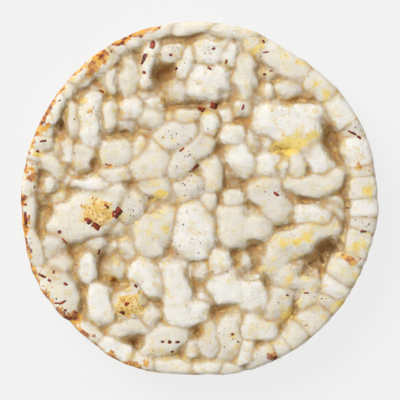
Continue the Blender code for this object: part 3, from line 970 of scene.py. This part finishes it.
def puffedGrain():
    look = grainLook
    material, nt, shader = newMaterial("puffedGrain")
    where = addNode(nt.nodes, "ShaderNodeTexCoord").outputs["Object"]
    broad = patches(nt, where, 7, 2)
    middle = patches(nt, where, 2.2, 3)
    fine = patches(nt, where, 0.7, 4, 0.6)

    # painted shade: depth in a hollow and nearness to a seam, with the lean of the flanks and the
    # depth below the mould, set the shade from cream to brown
    blocked = carried(nt, "blocked")
    gap = carried(nt, "seamGap")
    shade = times(nt, blocked, look["hollowShade"])
    # painted shade that grows towards each seam
    for width, amount in look["seamShade"]:
        shade = maths(nt, "ADD", shade, stepped(nt, gap, 0.0, width, amount, 0.0))
    # painted shade on flanks that lean away from the plates and ring
    shade = maths(nt, "ADD", shade, times(nt, carried(nt, "tilted"), look["tiltShade"]))
    # painted shade deeper below the plates and ring
    shade = maths(nt, "ADD", shade,
                  stepped(nt, carried(nt, "sunk"), 1.6, 5.0, 0.0, look["sunkShade"]))
    shade = times(nt, shade, stepped(nt, middle, 0.3, 0.7, 0.75, 1.3))
    colour = shadeRamp(nt, shade, look["shades"])
    openTop = stepped(nt, shade, 0.0, 0.34, 1.0, 0.0)
    for name, (paint, amount) in look["finishes"].items():
        cover = times(nt, carried(nt, name), times(nt, openTop, amount))
        colour = mixColours(nt, cover, colour, paint)
    yellowing = times(nt, stepped(nt, middle, 0.50, 0.66),
                      stepped(nt, carried(nt, "golden"), 0.0, 1.0, 0.28, 0.8))
    colour = mixColours(nt, yellowing, colour, look["golden"])

    # fine uneven paleness of the torn foam
    grainy = stepped(nt, patches(nt, where, 0.45, 3, 0.7), 0.35, 0.65, 0.0, 0.16)
    colour = mixColours(nt, grainy, colour, look["grainy"])

    # thin brown-grey hairlines in broad patches
    hairlineNoise = maths(nt, "ABSOLUTE", swing(nt, patches(nt, where, 2.6, 2, 0.5)))
    hairline = times(nt, stepped(nt, hairlineNoise, 0.0, 0.014, 0.5, 0.0), stepped(nt, broad, 0.42, 0.58))
    colour = mixColours(nt, hairline, colour, look["hairline"])

    # thin yellow veins that wander over the tops
    line = maths(nt, "ABSOLUTE", swing(nt, patches(nt, where, 6, 4, 0.55)))
    vein = times(nt, stepped(nt, line, 0.0, 0.04, 1.0, 0.0), stepped(nt, middle, 0.46, 0.62), 0.5)
    colour = mixColours(nt, vein, colour, look["vein"])

    # golden freckles beside the seams
    freckle = times(nt, stepped(nt, patches(nt, where, 1.2, 2), 0.57, 0.63),
                    stepped(nt, gap, 0.5, 1.6, 0.65, 0.0), stepped(nt, broad, 0.45, 0.56))
    colour = mixColours(nt, freckle, colour, look["freckle"])

    # orange brown in the bottom of the seams: partly the toasted seam colour, partly painted crease
    # shade, stronger where the crease is more hidden
    seam = times(nt, stepped(nt, gap, 0.0, 0.5, 1.0, 0.0),
                 stepped(nt, blocked, 0.02, 0.15, 0.5, 0.95),
                 stepped(nt, broad, 0.36, 0.56, 0.4, 1.0))
    colour = mixColours(nt, seam, colour, look["seam"])

    # stains: smears of yellow, toasted patches, the browned wall, broken golden germ
    torn = swing(nt, patches(nt, where, 3.0, 4, 0.6), look["torn"])
    frayed = swing(nt, patches(nt, where, 3.2, 4, 0.6), look["frayed"])
    butter = mixColours(nt, stepped(nt, fine, 0.52, 0.66), look["yellow"], look["yellowDark"])
    charred = patches(nt, where, 1.9, 4, 0.6)
    crust = mixColours(nt, stepped(nt, charred, 0.46, 0.54), look["crust"], look["toast"])
    crust = mixColours(nt, stepped(nt, charred, 0.57, 0.63), crust, look["toastDark"])
    crumbs = mixColours(nt, stepped(nt, middle, 0.42, 0.6), look["germ"], look["germPale"])
    crumbs = mixColours(nt, stepped(nt, fine, 0.36, 0.5, 1.0, 0.0), crumbs, look["germDark"])
    for name, edge, low, high, amount, stain in (
            ("smear", torn, -0.4, 1.6, 0.85, butter), ("toast", frayed, -0.1, 0.5, 0.9, crust),
            ("browning", frayed, 0.0, 0.5, 0.9, crust), ("germ", torn, 0.3, 0.9, 1.0, crumbs)):
        cover = stepped(nt, maths(nt, "ADD", carried(nt, name), edge), low, high, 0.0, amount)
        colour = mixColours(nt, cover, colour, stain)

    feed(nt, shader, {"Base Color": colour, "Roughness": look["roughness"],
                      "Subsurface Weight": look["glow"], "Subsurface Radius": (1.0, 0.7, 0.4),
                      "Subsurface Scale": 1.0 * mm})
    roughen(nt, shader, fine, look["bump"])
    return material


# Torn bits of dark red bran skin: x, y, length, width, heading.
branSkin = [
    (-12.3, 41.3, 2.6, 1.7, 60), (-14.4, 38.3, 2.2, 1.5, 75), (-15, 36.9, 2.0, 1.1, 65),
    (-14.6, 34, 1.2, 0.9, 0), (0.6, 24.3, 2.1, 1.8, -20), (4.1, 25.3, 2.3, 2.1, -10),
    (-22, -3.6, 3.6, 2.4, 50), (-28.3, -6.4, 5.4, 1.8, -32), (-24.6, -1.6, 2.0, 0.8, -40),
    (11.8, 24.8, 1.7, 0.8, 80), (20.6, 1.6, 2.4, 0.9, -35), (-9.6, -37.8, 1.2, 0.8, 0),
    (-7.8, -37.9, 1.2, 1.2, 0), (-5.7, -37.9, 1.6, 0.8, 10), (20.4, -42.1, 1.7, 1.2, 40),
    (28.7, -24.8, 1.7, 0.6, 0), (43.8, -8.4, 2.0, 0.7, 0), (41, 17.9, 3.2, 0.7, -25),
    (42.7, 16.7, 1.5, 1.0, -40), (-41.6, 15.7, 2.2, 0.7, 10), (-43, 13, 1.0, 0.8, 0),
    (-41.8, -20.2, 3.0, 0.9, -25), (-39.9, -21.4, 1.3, 0.9, -30), (-36.4, -27.3, 2.6, 0.8, 25),
    (-38, -27.5, 1.8, 0.6, 0), (-35.6, -29.4, 1.1, 0.8, 0), (-46.3, -5, 4.4, 1.2, 97),
    (-46.2, -1.2, 0.9, 0.8, 0), (-38.7, -19.2, 1.1, 0.8, 90), (-35.6, -22.4, 1.5, 1.0, -40),
    (-20.4, -30.1, 1.9, 1.2, -35), (-19.2, -27.6, 1.5, 1.1, 20), (-16.8, -23, 1.4, 1.0, -30),
    (-37.2, -8.5, 1.3, 1.0, 0), (-35.9, -10.9, 2.8, 0.6, -50), (-26.7, -13.9, 1.9, 0.7, 80),
    (-1.4, 8.4, 4.4, 0.7, 40), (-7.5, 38.7, 1.0, 0.9, 0), (-6, 35.1, 1.2, 1.0, 40),
    (-26, 29.1, 1.6, 0.8, -30), (-4.6, 13.4, 2.4, 0.7, 35), (3.9, 40.4, 1.2, 0.8, 30),
    (7.3, 36.9, 1.4, 0.8, 80), (2.8, 35.2, 1.6, 0.7, -40), (9, -35.8, 1.0, 0.9, 0),
    (15.2, -12.2, 0.8, 0.6, 0), (-7.1, -40.5, 1.1, 0.8, 20), (17.2, 42.4, 1.3, 0.8, -50),
    (17.6, 33.6, 1.1, 0.9, 0), (19.2, 34.5, 1.1, 0.5, 10), (17.8, 39.4, 2.0, 0.6, 5),
    (23.6, -25.4, 1.0, 0.7, 0), (-19.8, 43.2, 1.8, 1.2, 30), (-24.7, 9.5, 0.9, 0.6, 0),
]
# Tiny dark specks lie in clusters: x, y, radius, how many.
speckClusters = [
    (-6, 16, 7, 26), (-3, 12, 6, 18), (-2.5, 3.4, 4.6, 22), (-18, -1.5, 4, 14), (18.6, 0.6, 6, 22),
    (3, 39, 5.5, 14), (-6.5, 39.5, 5, 12), (-3.6, -10.8, 5.5, 22), (18.6, -43, 3.6, 12),
    (30, -26.4, 4, 14), (44.4, -6.4, 3.4, 16), (42.4, 19.4, 3, 10), (-40, -24, 4.4, 12),
    (7.6, -37, 4, 12), (2.6, -37.6, 3.6, 12), (-14, 35, 4, 10), (-37, -9, 3.4, 6),
    (-9, -38.4, 4.4, 10), (-19, -29, 4, 10), (22, -27, 4, 8), (25, 21, 7, 6), (-29, 20, 5, 5),
]


# How the flakes and specks are made, in millimetres.
branShape = {
    "branSkin": {"lift": 0.09, "sides": 8, "square": 4.5, "dark": (0.09, 0.012, 0.005, 1),
                 "light": (0.36, 0.045, 0.010, 1), "patch": 1.4, "roughness": 0.5},
    "branSpecks": {"lift": 0.05, "sides": 6, "square": 3.0, "dark": (0.08, 0.02, 0.008, 1),
                   "light": (0.42, 0.14, 0.03, 1), "patch": 5, "roughness": 0.6},
    "clusterSizes": (0.2, 0.25, 0.3, 0.35, 0.45),
    "strewnSizes": (0.2, 0.25, 0.3, 0.4, 0.5),
    "seed": 17,
    "clusterShare": 0.75,     # how much of each cluster is laid
    "strewn": 350,            # places tried all over the cake
    "strewnSeed": 8,
    "probe": 1.5,             # how far above the skin a flake looks for it
    "root": 0.35,             # how deep its closed underside reaches
}


def chipOutline(dice, sides, square):
    # a rounded, uneven outline
    radii = []
    for i in range(sides):
        turn = 2 * math.pi * i / sides
        corner = (abs(math.cos(turn)) ** square + abs(math.sin(turn)) ** square) ** (-1 / square)
        radii.append(corner * dice.uniform(0.8, 1.12))
    return radii


def drapeChip(bm, kind, start, normal, heading, length, width, dice):
    # a thin closed flake that follows the surface under it
    shape = branShape[kind]
    sides, lift = shape["sides"], shape["lift"]
    along = normal.cross(Vector((-math.sin(heading), math.cos(heading), 0.0)))
    if along.length < 0.2:
        along = normal.orthogonal()
    along.normalize()
    if along.dot(Vector((math.cos(heading), math.sin(heading), 0))) < 0:
        along = -along
    across = normal.cross(along)
    radii = chipOutline(dice, sides, shape["square"])
    probe = branShape["probe"]

    def onSurface(u, v, rise):
        place = start + along * u + across * v
        hit = bodyTree.ray_cast(place + normal * probe, -normal, probe * 2)[0]
        return (hit if hit is not None else place - normal * 0.2) + normal * rise

    rings = []
    for ring, rise in ((0.0, lift), (0.62, lift * 0.95), (1.0, -0.04)):
        corners = []
        for i in range(sides if ring else 1):
            turn = 2 * math.pi * i / sides
            u = ring * radii[i] * math.cos(turn) * length / 2
            v = ring * radii[i] * math.sin(turn) * width / 2
            corners.append(bm.verts.new(onSurface(u, v, rise) * mm))
        rings.append(corners)
    under = bm.verts.new((start - normal * branShape["root"]) * mm)
    for i in range(sides):
        j = (i + 1) % sides
        bm.faces.new((rings[0][0], rings[1][i], rings[1][j]))
        bm.faces.new((rings[1][i], rings[2][i], rings[2][j], rings[1][j]))
        bm.faces.new((rings[2][i], under, rings[2][j]))


def faceSpot(x, y, above=True):
    # the place on the upper or the lower face, and the way the skin looks there
    if above:
        start, way = Vector((x, y, thickness + 5)), Vector((0, 0, -1))
    else:
        start, way = Vector((*lowerPlace(x, y), -5)), Vector((0, 0, 1))
    hit, normal, _, _ = bodyTree.ray_cast(start, way)
    return hit, normal, way


def finishPiece(bm, name):
    bmesh.ops.recalc_face_normals(bm, faces=bm.faces)
    mesh = bpy.data.meshes.new(name)
    bm.to_mesh(mesh)
    bm.free()
    piece = bpy.data.objects.new(name, mesh)
    bpy.context.scene.collection.objects.link(piece)
    shadeSmooth(mesh)
    mesh.materials.append(mottled(name))
    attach(piece, "root")


def mottled(name):
    shape = branShape[name]
    material, nt, shader = newMaterial(name)
    where = addNode(nt.nodes, "ShaderNodeTexCoord").outputs["Object"]
    cover = stepped(nt, patches(nt, where, shape["patch"], 4), 0.38, 0.62)
    feed(nt, shader, {"Base Color": mixColours(nt, cover, shape["dark"], shape["light"]),
                      "Roughness": shape["roughness"]})
    roughen(nt, shader, patches(nt, where, shape["patch"] / 3, 4), 0.1)
    return material


def layBranSkin(dice):
    bm = bmesh.new()
    for above in (True, False):
        for x, y, length, width, heading in branSkin:
            hit, normal, way = faceSpot(x, y, above)
            if hit is not None:
                up = (normal - way * 2).normalized()
                drapeChip(bm, "branSkin", hit, up, math.radians(heading), length, width, dice)
    finishPiece(bm, "branSkin")


def layBranSpecks(dice):
    bm = bmesh.new()
    for x, y, radius, count in speckClusters:
        for _ in range(round(count * branShape["clusterShare"])):
            r, angle = radius * dice.random() ** 0.7, dice.uniform(0, 2 * math.pi)
            hit, normal, _ = faceSpot(x + r * math.cos(angle), y + r * math.sin(angle))
            if hit is not None and normal.z > 0.5:
                size = dice.choice(branShape["clusterSizes"])
                drapeChip(bm, "branSpecks", hit, normal, angle, size * dice.uniform(1, 2), size,
                          dice)
    order = np.random.default_rng(branShape["strewnSeed"]).permutation(len(points))
    for i in order[:branShape["strewn"]]:
        # not in the hollows, and fewer on the upper face
        if blocked[i] < 0.25 and (points[i, 2] < 12 or dice.random() < 0.3):
            size = dice.choice(branShape["strewnSizes"])
            drapeChip(bm, "branSpecks", Vector(points[i]), Vector(normals[i]), dice.uniform(0, 6),
                      size * dice.uniform(1, 2.4), size, dice)
    finishPiece(bm, "branSpecks")


branDice = random.Random(branShape["seed"])
layBranSkin(branDice)
layBranSpecks(branDice)
print("bran done")

cake.data.materials.clear()
cake.data.materials.append(puffedGrain())
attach(cake, "root")
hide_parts("rice_cake")

studio = {
    "floorSize": 2.0,
    "floorGlow": 0.78,        # keeps the floor pale in every view
    "floorTint": (0.09, 0.09, 0.09, 1),
    "skyStrength": 0.47,
    "lamp": {"place": (-0.45, 0.5, 0.7), "size": 0.5, "power": 7.6},
    "lens": 150,
    "sensor": 36,
    "frameWidth": 107.0,      # millimetres of the cake's top that fill the frame
    "frameLevel": 2.0,        # how far below the top that width is measured
    "aim": 0.3,               # millimetres the camera stands to the right
}


def setStudio():
    scene = bpy.context.scene
    scene.view_settings.view_transform = "Standard"
    world = bpy.data.worlds.new("softSky")
    scene.world = world
    world.use_nodes = True
    sky = world.node_tree.nodes["Background"]
    feed(world.node_tree, sky, {"Color": (1, 1, 1, 1), "Strength": studio["skyStrength"]})
    bpy.ops.mesh.primitive_plane_add(size=studio["floorSize"], location=(0, 0, -0.0001))
    floor = bpy.context.object
    floor.name = "paleFloor"
    material, nt, shader = newMaterial("paleFloor")
    feed(nt, shader, {"Base Color": studio["floorTint"], "Roughness": 0.9,
                      "Emission Color": (1, 1, 1, 1), "Emission Strength": studio["floorGlow"]})
    floor.data.materials.append(material)
    lamp = bpy.data.lights.new("softLamp", "AREA")
    lamp.size = studio["lamp"]["size"]
    lamp.energy = studio["lamp"]["power"]
    place = Vector(studio["lamp"]["place"])
    lampObject = bpy.data.objects.new("softLamp", lamp)
    lampObject.location = place
    lampObject.rotation_euler = (-place).to_track_quat("-Z", "Y").to_euler()
    scene.collection.objects.link(lampObject)
    camera = bpy.data.cameras.new("camera")
    camera.lens = studio["lens"]
    camera.sensor_width = studio["sensor"]
    cameraObject = bpy.data.objects.new("camera", camera)
    height = studio["frameWidth"] * mm * studio["lens"] / studio["sensor"]
    shownLevel = cakeHigh.z - studio["frameLevel"] * mm
    cameraObject.location = (studio["aim"] * mm, 0, shownLevel + height)
    scene.collection.objects.link(cameraObject)
    scene.camera = cameraObject


setStudio()
print("studio ready")
